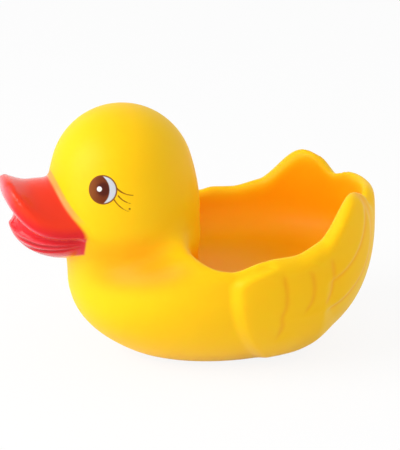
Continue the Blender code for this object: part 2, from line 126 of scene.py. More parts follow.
# Bill, an arched upper half with a rolled edge over a scooped and folded lower half
BILL_ROOT = 62.0
BILL_LENGTH = 29.7
BILL_HALF_WIDTH = 24.0
BILL_BACK = 48.0
BILL_SQUARENESS = 2.5
BILL_REACH_LIMIT = 1.25
BILL_ARCH_LIMIT = 1.3
BILL_TOP_HEIGHT = 77.3
BILL_TIP_RISE = 2.0
BILL_TIP_SPAN = (0.6, 1.0)
BILL_LIP_HEIGHT = 58.0
BILL_LIP_SWEEP = 13.5
BILL_LIP_CURL = 4.0
BILL_LIP_THICKNESS = 3.5
BILL_ROUNDING = 3.0
BILL_BLEND = 2.5
BILL_BEAD = 0.5
BILL_BEAD_WIDTH = 2.6
BILL_DISH = 0.3
BILL_DISH_INSET = 7.0
BILL_DISH_WIDTH = 3.6
LOWER_BILL_HALF_WIDTH = 22.0
LOWER_BILL_LENGTH = 23.2
LOWER_BILL_DEPTH = 17.4
LOWER_BILL_BACKSET = 66.0
LOWER_BILL_HEIGHT = 61.8
LOWER_BILL_LIFT = 0.25
LOWER_LIP_SWEEP = 7.0
MOUTH_GAP = 2.2
MOUTH_BLEND = 0.8
LOWER_LIP_ROUNDING = 2.0
TONGUE_BLEND = 1.2
TONGUE_HALF_WIDTH = 20.5
TONGUE_LENGTH = 21.5
TONGUE_HALF_HEIGHT = 10.0
TONGUE_RAISE = 1.5
FOLD_DEPTH = 0.75
FOLD_PITCH = 3.1
FOLD_START = 1.0
FOLD_END = 7.2
FOLD_END_FADE = 1.2
FOLD_SIDE_SPAN = (3.0, 12.0)
FOLD_ROOT = 59.0
FOLD_SPREAD = 22.0
FOLD_LEAST_SPREAD = 0.12
FOLD_SPREAD_CURVE = 0.7

# Wings, folded against the sides
WING_THICKNESS = 2.8
WING_FRONT = -11.0
WING_FRONT_CURVE = 0.0118
WING_SHOULDER_CURVE = 0.022
WING_SHOULDER_SETBACK = 15.0
WING_FRONT_HEIGHT = 41.0
WING_FRONT_ROUNDING = 6.0
WING_BELLY_START = -1.0
WING_BELLY_END = 6.0
WING_STERN_FADE = 16.0
WING_STERN_SPAN = (22.0, 52.0)
FEATHER_DEPTH = 0.85
FEATHER_DIP_SHARE = 0.4
FEATHER_DIP_RAMP = 4.0
FEATHER_STEP = 1.5
FEATHER_RAMP = 7.0
FEATHER_BOW = 2.2
FEATHER_FADE_START = 0.7
FEATHER_FADE_END = 1.15
FEATHER_EDGES = (
    # rear edge, height of its middle, half of its height
    (12.3, 32.0, 16.0),
    (24.4, 37.5, 10.0),
    (33.8, 40.0, 11.0),
)
FEATHER_DENT = 1.3
FEATHER_DENT_HEIGHT = 28.0
FEATHER_DENT_REACH = 3.5
TIP_STEP_SHARE = 0.38
TIP_STEP = 1.2
TIP_START = 31.0
TIP_FADE = 4.0
TIP_LOW_FADE = 9.0
TIP_LOW_SPAN = (30.0, 12.0)
TIP_EDGES = (
    # along, height, radius
    (27.5, 62.5, 23.2),
    (30.5, 52.0, 25.5),
)

# Vent in the belly
VENT_RADIUS = 4.0
VENT_ALONG = 14.0
VENT_DEPTH = 9.0

# Printed eye: its middle on the cheek, and the surface's two directions there
EYE_CENTRE = Vector((26.0, -55.3, 79.2))
EYE_REARWARD = Vector((0.453, 0.889, 0.059))
EYE_UPWARD = Vector((-0.252, 0.070, 0.965))
EYE_RADIUS = 5.85
EYE_OUTLINE = 0.55
IRIS_OUTLINE = 0.33
IRIS_CENTRE = (-4.0, -0.1)
IRIS_RADIUS = 6.8
PUPIL_CENTRE = (0.3, 0.2)
PUPIL_RADIUS = 2.7
GLINT_CENTRE = (-1.35, 0.28)
GLINT_RADIUS = 1.0
LASHES = (
    # root, tip, sag below the straight line, width at the root
    ((5.5, 0.8), (11.7, -2.1), 0.75, 0.72),
    ((6.2, -2.4), (10.9, -5.4), 0.50, 0.66),
    ((4.6, -4.0), (10.1, -8.6), 0.65, 0.62),
)
LASH_TIP_SHARE = 0.45
FLECK_CENTRE = (10.3, -7.5)
FLECK_RADIUS = 0.42
EYE_ZONE = 15.0

# Edge and shades of the sprayed bill paint, with a painted highlight in its overspray and painted
# highlights on its bead and fold crests
PAINT_OVER_HEAD = 0.45
PAINT_OFF_BILL = 2.2
PAINT_CORNER_BACKSET = 61.4
PAINT_CORNER_HEIGHT = 59.0
THROAT_HEIGHT = 42.5
THROAT_SLOPE = 0.39
OVERSPRAY_SPAN = (-1.5, 0.0)
OVERSPRAY_HEIGHTS = (62.0, 70.0)
LIP_UNDERSIDE = -1.0
MOUTH_MIDDLE = -0.5
BEAD_HIGHLIGHT = (0.2, 0.9)
BEAD_HIGHLIGHT_SPAN = (0.25, 0.75)
BEAD_HIGHLIGHT_HEIGHTS = (3.0, 0.8)
BEAD_TIP_HIGHLIGHT_SPAN = (0.85, 1.0)
RIM_TINT_START = 1.0
RIM_TINT_SHARE = 0.8

# Painted shade, a deeper orange where shade falls: the neck's crease, the basin and the feathers' edges
CREASE_LOW_HEIGHT = 49.2
CREASE_LOW_SLOPE = 0.2
CREASE_SOFTNESS = 6.5
CREASE_TOP_SPAN = (66.0, 47.0)
CREASE_SIDE_SPAN = (6.0, 34.0)
CREASE_BACK_SPAN = (-12.0, -38.0)
BASIN_SHADE_START = 2.0
BASIN_SHADE_DEPTH = 9.0
BASIN_SHADE_EDGE = (2.0, -0.5)
LINE_SIDE_SPAN = (20.0, 30.0)
LINE_RIM_SPAN = (0.8, 2.2)
LINE_OFFSET = 1.0
LINE_WIDTH = 1.5
TIP_LINE_SPAN = (32.0, 38.0)

# Colour layers: sRGB code, the attribute that the layer follows, softness and place of its edge
VINYL_YELLOWS = ("FFC406", "FFCA0A")
# The vinyl's painted shade: deeper orange in the basin, the neck's crease and along the feathers' edges
VINYL_PAINTED_SHADES = (
    ("FFAA00", "basin_painted_shade", 0.5, 0.55),
    ("FFA200", "neck_painted_shade", 0.55, 0.55),
    ("FCAE00", "feather_painted_shade", 0.8, 0.8),
)
# Soft overspray at the edge of the bill's paint, lightened there as a painted highlight on the bill's
# root
OVERSPRAY_AND_HIGHLIGHT = (("FF9C48", "bill_overspray_highlight", 0.5, 0.5),)
BILL_RED = "D60E1C"
# The bill's red: orange in its middle, painted highlight in pink on the crests of its bead and folds,
# and painted shade in dark red in its grooves
BILL_TINTS = (
    ("E63208", "bill_inset", 2.6, 2.6),
    ("EE4E5C", "bill_crest_highlight", 0.7, 0.7),
    ("B80C18", "bill_groove_shade", 0.6, 0.6),
)
BILL_PAINT_EDGE = (0.5, 0.3)
EYE_GROUND = (
    ("8E4E00", "eye_lashes", 0.16, 0.0),
    ("7A4410", "eye_round", 0.18, 0.0),
    ("C6CAD2", "eye_round", 0.2, EYE_OUTLINE),
)
IRIS_BROWN = "702E08"
IRIS_TINTS = (
    ("8A4812", "eye_forward", 3.0, 3.0),
    ("501604", "eye_pupil", 0.9, 0.0),
)
IRIS_SOFTNESS = 0.2
EYE_LIGHT = (("FFFFFF", "eye_glint", 0.25, 0.0),)

# Finish of the vinyl, and of the lacquer on the bill
CLOUD_SCALE = 32.0
CLOUD_DETAIL = 2.0
PEEL_SCALE = 450.0
PEEL_DETAIL = 2.0
PEEL_STRENGTH = 0.35
PEEL_DEPTH = 0.06
VINYL_IOR = 1.5
VINYL_SPECULAR = 0.15
VINYL_ROUGHNESS = 0.46
LACQUER_UNDER_ROUGHNESS = 0.27
LACQUER_EDGE = 0.35
LACQUER_ROUGHNESS = 0.26
LACQUER_IOR = 1.22
SCATTER_SHARE = 0.45
SCATTER_COLOURS = (1.0, 0.45, 0.08)
SCATTER_DEPTH = 7.0

# Fineness of the mesh
BLANK_VOXEL = 2.4
BALL_SEGMENTS = 48
BALL_RINGS = 32
UPRIGHT_SEGMENTS = 64
OUTLINE_POINTS = 61
CUTTER_MARGIN = 20.0
CUTTER_TOP = 200.0
BASIN_BLANK_BEVEL = 12.0
BASIN_BLANK_STEPS = 4
BASIN_FLOOR_MARGIN = 1.0
BLANK_SIDE_LIMIT = 0.1
BLANK_BILL_RISE = 0.45
SKIN_VOXEL = 1.15
EASE_ROUNDS = 10
EASE_LIMIT = 1.5
EASE_LEAST_SLOPE = 0.04
SLOPE_STEP = 0.05
SNAP = 0.02
CUT_REACH = 0.0001
MIRROR_WELD = 0.01
FLAT_FACE_DOWN = -0.9999
BILL_ZONE_BACK = -58.0
BILL_ZONE_HEIGHTS = (40.0, 84.0)

# Camera, at the photograph's angle
CAMERA_AZIMUTH = 75.0
CAMERA_ELEVATION = 18.0
CAMERA_DISTANCE = 900.0
CAMERA_RAISE = 57.06
CAMERA_AIM = (-16.9, -4.7, 46.4)
CAMERA_LENS = 169.9
CAMERA_SENSOR = 36.0
CAMERA_CLIP = (10.0, 20000.0)

# Table, room and lamps
TABLE_HALF_SIZE = 3000.0
TABLE_WHITE = "F4F4F4"
TABLE_GLOW_SHARE = 0.88
ROOM_LIGHT = 0.66
LAMP_AIM = (0.0, -10.0, 50.0)
LAMPS = (
    # name, direction by right, up and back as the camera sees them, distance, side, power in watts
    ("key_softbox", (-0.80, 0.34, 0.50), 1100.0, 800.0, 11.0),
    ("fill_softbox", (0.85, 0.30, -0.10), 1100.0, 800.0, 1.2),
)


def clear_of_zero(value):
    return np.maximum(value, LEAST_DIVISOR)


# Blending of forms, all in millimetres and negative inside


def ramp(start, end, value):
    t = np.clip((value - start) / (end - start), 0.0, 1.0)
    return t * t * (3.0 - 2.0 * t)


def merge(first, second, radius):
    share = np.clip(0.5 + 0.5 * (second - first) / radius, 0.0, 1.0)
    return second + (first - second) * share - radius * share * (1.0 - share)


def meet(first, second, radius):
    return -merge(-first, -second, radius)


def swell(value, middle, width):
    return np.exp(-(((value - middle) / width) ** 2))


def ellipsoid(x, y, z, centre, radii):
    u = (x - centre[0]) / radii[0]
    v = (y - centre[1]) / radii[1]
    w = (z - centre[2]) / radii[2]
    reach = np.sqrt(u * u + v * v + w * w)
    slope = np.sqrt((u / radii[0]) ** 2 + (v / radii[1]) ** 2 + (w / radii[2]) ** 2)
    return reach * (reach - 1.0) / clear_of_zero(slope)


def rim_height(y):
    rise = RIM_MID_RISE * ramp(*RIM_MID_SPAN, y) + WING_SLOPE_RISE * ramp(*WING_SLOPE_SPAN, y)
    tip = WING_TIP_RISE * ramp(*WING_TIP_SPAN, y) - TAIL_DROP * ramp(*TAIL_DROP_SPAN, y)
    shoulder = (SHOULDER_HEIGHT - RIM_LOW_HEIGHT) * ramp(*SHOULDER_SPAN, y)
    collar = COLLAR_RISE * swell(y, -COLLAR_BACKSET, COLLAR_REACH)
    return RIM_LOW_HEIGHT + rise + tip + shoulder + collar


def rim_edge(x, y):
    """The upper edge with a notch between each wing tip and the tail."""
    notch = TAIL_NOTCH * swell(np.abs(x), TAIL_NOTCH_ASIDE, TAIL_NOTCH_REACH)
    return rim_height(y) - notch * ramp(*TAIL_NOTCH_SPAN, y)


def body_reach(x, y, z):
    """How far out a point lies, 1 on the side of the body, and the same in plan alone."""
    fullness = CHEST_FULLNESS + (STERN_FULLNESS - CHEST_FULLNESS) * ramp(*FULLNESS_SPAN, y)
    widest = BODY_WIDEST_HEIGHT + BODY_SHEER * y
    depth = widest + BELLY_CUT - BELLY_ROUNDING * (x / BODY_HALF_WIDTH) ** 2
    below = (widest - z) / depth
    above = (z - widest) / SIDE_LEAN_HEIGHT
    plan = np.sqrt((x / BODY_HALF_WIDTH) ** 2 + (y / BODY_HALF_LENGTH) ** 2)
    level = np.where(z < widest, below, above)
    return (plan**fullness + level**fullness) ** (1.0 / fullness), plan


def feather_edge(y, z, edge, middle, half):
    """How far a point lies behind a feather's rear edge, and how much of that edge shows there."""
    bow = FEATHER_BOW * ((z - middle) / half) ** 2
    dent = FEATHER_DENT * swell(z, FEATHER_DENT_HEIGHT, FEATHER_DENT_REACH)
    hidden = ramp(half * FEATHER_FADE_START, half * FEATHER_FADE_END, np.abs(z - middle))
    return y - (edge - bow - dent), 1.0 - hidden


def feathers(y, z):
    """Each feather's rear edge drops by a small step that the next feather rises out of."""
    cut = 0.0
    for edge, middle, half in FEATHER_EDGES:
        past, shown = feather_edge(y, z, edge, middle, half)
        dip = FEATHER_DIP_SHARE * np.exp(np.minimum(past, 0.0) / FEATHER_DIP_RAMP)
        step = (1.0 - FEATHER_DIP_SHARE) * ramp(0.0, FEATHER_STEP, past)
        drop = (dip + step) * np.exp(-np.maximum(past, 0.0) / FEATHER_RAMP)
        cut = cut + FEATHER_DEPTH * drop * shown
    return cut


def feather_shade_lines(y, z):
    """1 along the foot of each feather's edge, for painted shade in the groove there."""
    lines = 0.0
    for edge, middle, half in FEATHER_EDGES:
        past, shown = feather_edge(y, z, edge, middle, half)
        lines = np.maximum(lines, swell(past, LINE_OFFSET, LINE_WIDTH) * shown)
    for along, height, radius in TIP_EDGES:
        beyond = np.sqrt((y - along) ** 2 + (z - height) ** 2) - radius
        lines = np.maximum(lines, swell(beyond, LINE_OFFSET, LINE_WIDTH) * ramp(*TIP_LINE_SPAN, y))
    return lines


def wing_relief(y, z):
    over = np.maximum(z - WING_FRONT_HEIGHT, 0.0)
    under = np.minimum(z - WING_FRONT_HEIGHT, 0.0)
    setback = np.minimum(WING_SHOULDER_CURVE * over**3, WING_SHOULDER_SETBACK)
    front = WING_FRONT + WING_FRONT_CURVE * under**2 + setback
    rise = ramp(0.0, WING_FRONT_ROUNDING, y - front)
    foot = ramp(WING_BELLY_START, WING_BELLY_END + WING_STERN_FADE * ramp(*WING_STERN_SPAN, y), z)
    fade = TIP_FADE + TIP_LOW_FADE * ramp(*TIP_LOW_SPAN, z)
    past_feathers = ramp(TIP_START, TIP_START + fade, y)
    left = 1.0
    for along, height, radius in TIP_EDGES:
        beyond = np.sqrt((y - along) ** 2 + (z - height) ** 2) - radius
        left = left - TIP_STEP_SHARE * past_feathers * ramp(-TIP_STEP, TIP_STEP, beyond)
    return WING_THICKNESS * rise * foot * left - feathers(y, z) * foot


def basin_form(x, y, z):
    _, plan = body_reach(x, y, z)
    share = BASIN_PLAN_SHARE + (BASIN_TAIL_SHARE - BASIN_PLAN_SHARE) * ramp(*BASIN_TAIL_SPAN, y)
    side = (plan - share) * PLAN_SCALE
    bowl = meet(side, BASIN_FLOOR_HEIGHT - z, BASIN_FLOOR_ROUNDING)
    from_neck = np.sqrt((x / NECK_WIDENING) ** 2 + (y + NECK_BACKSET + BASIN_NECK_GAP) ** 2)
    bowl = meet(bowl, NECK_RADIUS + BASIN_NECK_GAP - from_neck, BASIN_NECK_ROUNDING)
    return meet(bowl, BASIN_FRONT - y, BASIN_FRONT_ROUNDING)


def head_form(x, y, z):
    crown = ellipsoid(x, y, z, (0.0, -CROWN_BACKSET, CROWN_HEIGHT), (CROWN_RADIUS,) * 3)
    radii = (CHEEK_RADIUS, CHEEK_RADIUS, CHEEK_HALF_HEIGHT)
    cheeks = ellipsoid(x, y, z, (0.0, -CHEEK_BACKSET, CHEEK_HEIGHT), radii)
    round_neck = np.sqrt((x / NECK_WIDENING) ** 2 + (y + NECK_BACKSET) ** 2) - NECK_RADIUS
    neck = meet(round_neck, np.abs(z - NECK_HEIGHT) - NECK_HALF_HEIGHT, NECK_ROUNDING)
    return merge(merge(crown, cheeks, CROWN_BLEND), neck, NECK_BLEND)


def bill_outline(x, y):
    """The share along the bill, the height of the upper lip there, and the share of the plan."""
    along = np.clip((-BILL_ROOT - y) / BILL_LENGTH, 0.0, BILL_REACH_LIMIT)
    lip = BILL_LIP_HEIGHT + BILL_LIP_SWEEP * along**BILL_LIP_CURL
    across = (np.abs(x) / BILL_HALF_WIDTH) ** BILL_SQUARENESS
    plan = (across + along**BILL_SQUARENESS) ** (1.0 / BILL_SQUARENESS)
    return along, lip, plan


def upper_bill_form(x, y, z):
    along, lip, plan = bill_outline(x, y)
    top = BILL_TOP_HEIGHT + BILL_TIP_RISE * ramp(*BILL_TIP_SPAN, along)
    arch = np.clip(np.abs(x) / BILL_HALF_WIDTH, 0.0, BILL_ARCH_LIMIT) ** 2
    inset = (1.0 - plan) * BILL_HALF_WIDTH
    rolled = BILL_BEAD * swell(inset, 0.0, BILL_BEAD_WIDTH)
    dished = BILL_DISH * swell(inset, BILL_DISH_INSET, BILL_DISH_WIDTH)
    roof = top - (top - lip - BILL_LIP_THICKNESS) * arch + rolled - dished
    return meet(meet(z - roof, lip - z, BILL_ROUNDING), -inset, BILL_ROUNDING)


def lower_lip_height(along):
    return BILL_LIP_HEIGHT - MOUTH_GAP + LOWER_LIP_SWEEP * along**BILL_LIP_CURL


def bill_folds(x, y, under_lip):
    """Folds along the lower lip that draw together towards the corner: 0 on a crest, 1 in a groove."""
    spread = np.clip((-FOLD_ROOT - y) / FOLD_SPREAD, FOLD_LEAST_SPREAD, 1.0) ** FOLD_SPREAD_CURVE
    across = under_lip / spread
    wave = 0.5 - 0.5 * np.cos(2.0 * math.pi * (across - FOLD_START) / FOLD_PITCH)
    folded = ramp(0.0, FOLD_START, across) * ramp(FOLD_END, FOLD_END - FOLD_END_FADE, across)
    return wave, folded * ramp(*FOLD_SIDE_SPAN, np.abs(x)) * spread


def lower_bill_form(x, y, z):
    along, _, _ = bill_outline(x, y)
    centre = (0.0, -LOWER_BILL_BACKSET, LOWER_BILL_HEIGHT)
    lifted = z - LOWER_BILL_LIFT * np.maximum(y + LOWER_BILL_BACKSET, 0.0)
    radii = (LOWER_BILL_HALF_WIDTH, LOWER_BILL_LENGTH, LOWER_BILL_DEPTH)
    scoop = ellipsoid(x, y, lifted, centre, radii)
    lip = lower_lip_height(along)
    wave, folded = bill_folds(x, y, lip - z)
    return meet(scoop + FOLD_DEPTH * wave * folded, z - lip, LOWER_LIP_ROUNDING)


def bill_form(x, y, z):
    halves = merge(upper_bill_form(x, y, z), lower_bill_form(x, y, z), MOUTH_BLEND)
    centre = (0.0, -LOWER_BILL_BACKSET, BILL_LIP_HEIGHT + TONGUE_RAISE)
    tongue = ellipsoid(x, y, z, centre, (TONGUE_HALF_WIDTH, TONGUE_LENGTH, TONGUE_HALF_HEIGHT))
    return np.maximum(merge(halves, tongue, TONGUE_BLEND), y + BILL_BACK)


def body_form(x, y, z):
    reach, _ = body_reach(x, y, z)
    side = (reach - 1.0) * BODY_SCALE - wing_relief(y, z)
    soft = RIM_ROUNDING + (SHOULDER_ROUNDING - RIM_ROUNDING) * ramp(*SHOULDER_ROUNDING_SPAN, y)
    at_tips = ramp(*TIP_ROUNDING_SPAN, y) * ramp(*TAIL_ROUNDING_SPAN, y)
    soft = soft + (TIP_ROUNDING - RIM_ROUNDING) * at_tips
    shell = meet(side, z - rim_edge(x, y) - ROUNDING_LOSS * soft, soft)
    return meet(meet(shell, -basin_form(x, y, z), BASIN_LIP_ROUNDING), -z - BASE_TRIM, BASE_ROUNDING)


def duck_form(p):
    x, y, z = p[:, 0], p[:, 1], p[:, 2]
    fillet = SHOULDER_BLEND + (COLLAR_BLEND - SHOULDER_BLEND) * ramp(*COLLAR_SPAN, y)
    whole = merge(body_form(x, y, z), head_form(x, y, z), fillet)
    return merge(whole, bill_form(x, y, z), BILL_BLEND)


# Blank, a rough solid close to the form


def ball(mesh, centre, radii):
    size = [radius * MM for radius in radii] + [1.0]
    place = Matrix.Translation([c * MM for c in centre]) @ Matrix.Diagonal(size)
    bmesh.ops.create_uvsphere(
        mesh, u_segments=BALL_SEGMENTS, v_segments=BALL_RINGS, radius=1.0, matrix=place
    )


def upright(mesh, centre, radii, half_height):
    size = [radii[0] * MM, radii[1] * MM, half_height * MM, 1.0]
    place = Matrix.Translation([c * MM for c in centre]) @ Matrix.Diagonal(size)
    bmesh.ops.create_cone(
        mesh, cap_ends=True, segments=UPRIGHT_SEGMENTS, radius1=1.0, radius2=1.0, depth=2.0, matrix=place
    )


def object_from(mesh, name):
    data = bpy.data.meshes.new(name)
    bmesh.ops.recalc_face_normals(mesh, faces=mesh.faces)
    mesh.to_mesh(data)
    mesh.free()
    made = bpy.data.objects.new(name, data)
    bpy.context.scene.collection.objects.link(made)
    return made


def evaluated_copy(obj, name):
    bpy.context.view_layer.update()
    graph = bpy.context.evaluated_depsgraph_get()
    data = bpy.data.meshes.new_from_object(obj.evaluated_get(graph))
    made = bpy.data.objects.new(name, data)
    bpy.context.scene.collection.objects.link(made)
    return made


def cut_away(obj, cutter, name):
    cut = obj.modifiers.new(cutter.name, "BOOLEAN")
    cut.object = cutter
    cut.operation = "DIFFERENCE"
    cut.solver = "EXACT"
    made = evaluated_copy(obj, name)
    for used in (obj, cutter):
        bpy.data.objects.remove(used, do_unlink=True)
    return made


def above_the_rim():
    """Everything above the body's upper edge, a side outline drawn through the whole width."""
    mesh = bmesh.new()
    reach = BODY_HALF_LENGTH + CUTTER_MARGIN
    width = BODY_HALF_WIDTH + CUTTER_MARGIN
    steps = np.linspace(-reach, reach, OUTLINE_POINTS)
    edge = [mesh.verts.new((-width * MM, y * MM, rim_height(y) * MM)) for y in steps]
    corners = [mesh.verts.new((-width * MM, y * MM, CUTTER_TOP * MM)) for y in (reach, -reach)]
    face = mesh.faces.new(edge + corners)
    swept = bmesh.ops.extrude_face_region(mesh, geom=[face])
    moved = [part for part in swept["geom"] if isinstance(part, bmesh.types.BMVert)]
    bmesh.ops.translate(mesh, verts=moved, vec=(2.0 * width * MM, 0.0, 0.0))
    return object_from(mesh, "above_the_rim")


def basin_room():
    mesh = bmesh.new()
    radii = [BASIN_PLAN_SHARE * size for size in (BODY_HALF_WIDTH, BODY_HALF_LENGTH)]
    upright(mesh, (0.0, 0.0, BASIN_FLOOR_HEIGHT + 0.5 * CUTTER_TOP), radii, 0.5 * CUTTER_TOP)
    low = (BASIN_FLOOR_HEIGHT + BASIN_FLOOR_MARGIN) * MM
    lower = [edge for edge in mesh.edges if all(vert.co.z < low for vert in edge.verts)]
    bmesh.ops.bevel(
        mesh,
        geom=lower,
        offset=BASIN_BLANK_BEVEL * MM,
        segments=BASIN_BLANK_STEPS,
        profile=0.5,
        affect="EDGES",
        material=-1,
        clamp_overlap=True,
    )
    sides = list(mesh.verts) + list(mesh.edges) + list(mesh.faces)
    cut = bmesh.ops.bisect_plane(
        mesh,
        geom=sides,
        plane_co=(0.0, BASIN_FRONT * MM, 0.0),
        plane_no=(0.0, -1.0, 0.0),
        clear_outer=True,
    )
    rim = [part for part in cut["geom_cut"] if isinstance(part, bmesh.types.BMEdge)]
    bmesh.ops.holes_fill(mesh, edges=rim, sides=0)
    return object_from(mesh, "basin_room")


def body_blank():
    mesh = bmesh.new()
    depth = BODY_WIDEST_HEIGHT + BELLY_CUT
    ball(mesh, (0.0, 0.0, BODY_WIDEST_HEIGHT), (BODY_HALF_WIDTH, BODY_HALF_LENGTH, depth))
    for vert in mesh.verts:
        share = (vert.co.z / MM - BODY_WIDEST_HEIGHT) / depth
        if share > 0.0:
            upright_share = 1.0 / math.sqrt(max(1.0 - share * share, BLANK_SIDE_LIMIT))
            vert.co.x *= upright_share
            vert.co.y *= upright_share
    trimmed = cut_away(object_from(mesh, "body_ball"), above_the_rim(), "body_hull")
    return cut_away(trimmed, basin_room(), "body_blank")


def duck_blank():
    body = body_blank()
    mesh = bmesh.new()
    mesh.from_mesh(body.data)
    bpy.data.objects.remove(body, do_unlink=True)
    ball(mesh, (0.0, -CROWN_BACKSET, CROWN_HEIGHT), (CROWN_RADIUS,) * 3)
    ball(mesh, (0.0, -CHEEK_BACKSET, CHEEK_HEIGHT), (CHEEK_RADIUS, CHEEK_RADIUS, CHEEK_HALF_HEIGHT))
    radii = (NECK_RADIUS * NECK_WIDENING, NECK_RADIUS)
    upright(mesh, (0.0, -NECK_BACKSET, NECK_HEIGHT), radii, NECK_HALF_HEIGHT)
    top = BILL_TOP_HEIGHT - BILL_LIP_HEIGHT
    middle = BILL_LIP_HEIGHT + BLANK_BILL_RISE * top
    ball(mesh, (0.0, -BILL_ROOT, middle), (BILL_HALF_WIDTH, BILL_LENGTH, 0.5 * top))
    radii = (LOWER_BILL_HALF_WIDTH, LOWER_BILL_LENGTH, LOWER_BILL_DEPTH)
    ball(mesh, (0.0, -LOWER_BILL_BACKSET, LOWER_BILL_HEIGHT), radii)
    return object_from(mesh, "duck_blank")


def remeshed(obj, name, voxel):
    skin = obj.modifiers.new("even_skin", "REMESH")
    skin.mode = "VOXEL"
    skin.voxel_size = voxel * MM
    made = evaluated_copy(obj, name)
    bpy.data.objects.remove(obj, do_unlink=True)
    return made


# Easing the skin onto the form


def points_of(obj):
    flat = np.empty(len(obj.data.vertices) * 3)
    obj.data.vertices.foreach_get("co", flat)
    return flat.reshape(-1, 3) / MM


def slope_of(points):
    sides = []
    for axis in np.eye(3) * SLOPE_STEP:
        sides.append((duck_form(points + axis) - duck_form(points - axis)) / (2.0 * SLOPE_STEP))
    return np.stack(sides, axis=1)


def ease(obj, fixed_plane=False):
    points = points_of(obj)
    middle = np.abs(points[:, 0]) < SNAP
    for _ in range(EASE_ROUNDS):
        slope = slope_of(points)
        if fixed_plane:
            slope[middle, 0] = 0.0
        steep = np.maximum((slope**2).sum(axis=1), EASE_LEAST_SLOPE)
        move = -slope * (duck_form(points) / steep)[:, None]
        length = np.linalg.norm(move, axis=1)
        points += move * np.minimum(1.0, EASE_LIMIT / clear_of_zero(length))[:, None]
    if fixed_plane:
        points[middle, 0] = 0.0
    obj.data.vertices.foreach_set("co", (points * MM).reshape(-1))
    obj.data.update()


def left_half(mesh):
    parts = list(mesh.verts) + list(mesh.edges) + list(mesh.faces)
    bmesh.ops.bisect_plane(
        mesh,
        geom=parts,
        dist=CUT_REACH * MM,
        plane_co=(0.0, 0.0, 0.0),
        plane_no=(-1.0, 0.0, 0.0),
        clear_outer=True,
    )


def refine(mesh, wanted, cuts):
    """Divides the edges of the faces whose middle is in the wanted zone."""
    inside = [face for face in mesh.faces if wanted(face.calc_center_median() / MM)]
    chosen = {edge for face in inside for edge in face.edges}
    bmesh.ops.subdivide_edges(mesh, edges=list(chosen), cuts=cuts, use_grid_fill=True)


def in_bill_zone(place):
    lowest, highest = BILL_ZONE_HEIGHTS
    return place.y < BILL_ZONE_BACK and lowest < place.z < highest


def in_eye_zone(place):
    return (place - EYE_CENTRE).length < EYE_ZONE


def mirrored(obj, name):
    both = obj.modifiers.new("other_side", "MIRROR")
    both.use_axis[0] = True
    both.use_mirror_merge = True
    both.merge_threshold = MIRROR_WELD * MM
    made = evaluated_copy(obj, name)
    bpy.data.objects.remove(obj, do_unlink=True)
    return made


def flatten_base(obj):
    mesh = bmesh.new()
    mesh.from_mesh(obj.data)
    parts = list(mesh.verts) + list(mesh.edges) + list(mesh.faces)
    cut = bmesh.ops.bisect_plane(
        mesh, geom=parts, plane_co=(0.0, 0.0, 0.0), plane_no=(0.0, 0.0, -1.0), clear_outer=True
    )
    rim = [part for part in cut["geom_cut"] if isinstance(part, bmesh.types.BMEdge)]
    bmesh.ops.holes_fill(mesh, edges=rim, sides=0)
    bmesh.ops.recalc_face_normals(mesh, faces=mesh.faces)
    mesh.to_mesh(obj.data)
    mesh.free()


def vent_plug():
    mesh = bmesh.new()
    upright(mesh, (0.0, VENT_ALONG, 0.0), (VENT_RADIUS, VENT_RADIUS), VENT_DEPTH)
    return object_from(mesh, "vent_plug")


def duck_skin():
    rough = remeshed(duck_blank(), "duck_rough", BLANK_VOXEL)
    ease(rough)
    fine = remeshed(rough, "duck_fine", SKIN_VOXEL)
    mesh = bmesh.new()
    mesh.from_mesh(fine.data)
    left_half(mesh)
    refine(mesh, in_bill_zone, cuts=1)
    refine(mesh, in_eye_zone, cuts=2)
    bmesh.ops.triangulate(mesh, faces=mesh.faces)
    mesh.to_mesh(fine.data)
    mesh.free()
    ease(fine, fixed_plane=True)
    both = mirrored(fine, "duck_both")
    flatten_base(both)
    duck = cut_away(both, vent_plug(), "duck_skin")
    duck.data.shade_smooth()
    # The belly's flat face is shaded flat, and every other face smooth
    for face in duck.data.polygons:
        face.use_smooth = face.normal.z > FLAT_FACE_DOWN
    return duck


# Edges of the paint, in millimetres and positive inside, and strengths of the tints, painted shade and
# painted highlights among them, from 0 to 1


def disc(u, v, centre, radius):
    return radius - np.hypot(u - centre[0], v - centre[1])


def lash(u, v, root, tip, sag, width):
    """A stroke from root to tip that hangs below the straight line and thins out."""
    reach = np.array(tip) - root
    span = np.hypot(*reach)
    reach = reach / span
    along = ((u - root[0]) * reach[0] + (v - root[1]) * reach[1]) / span
    on_line = np.clip(along, 0.0, 1.0)
    below = sag * 4.0 * on_line * (1.0 - on_line)
    near_u = root[0] + on_line * span * reach[0] + below * reach[1]
    near_v = root[1] + on_line * span * reach[1] - below * reach[0]
    half = 0.5 * width * (1.0 - (1.0 - LASH_TIP_SHARE) * on_line)
    return half - np.hypot(u - near_u, v - near_v)


def store(obj, name, values):
    kept = obj.data.attributes.new(name, "FLOAT", "POINT")
    kept.data.foreach_set("value", np.ascontiguousarray(values, np.float32))


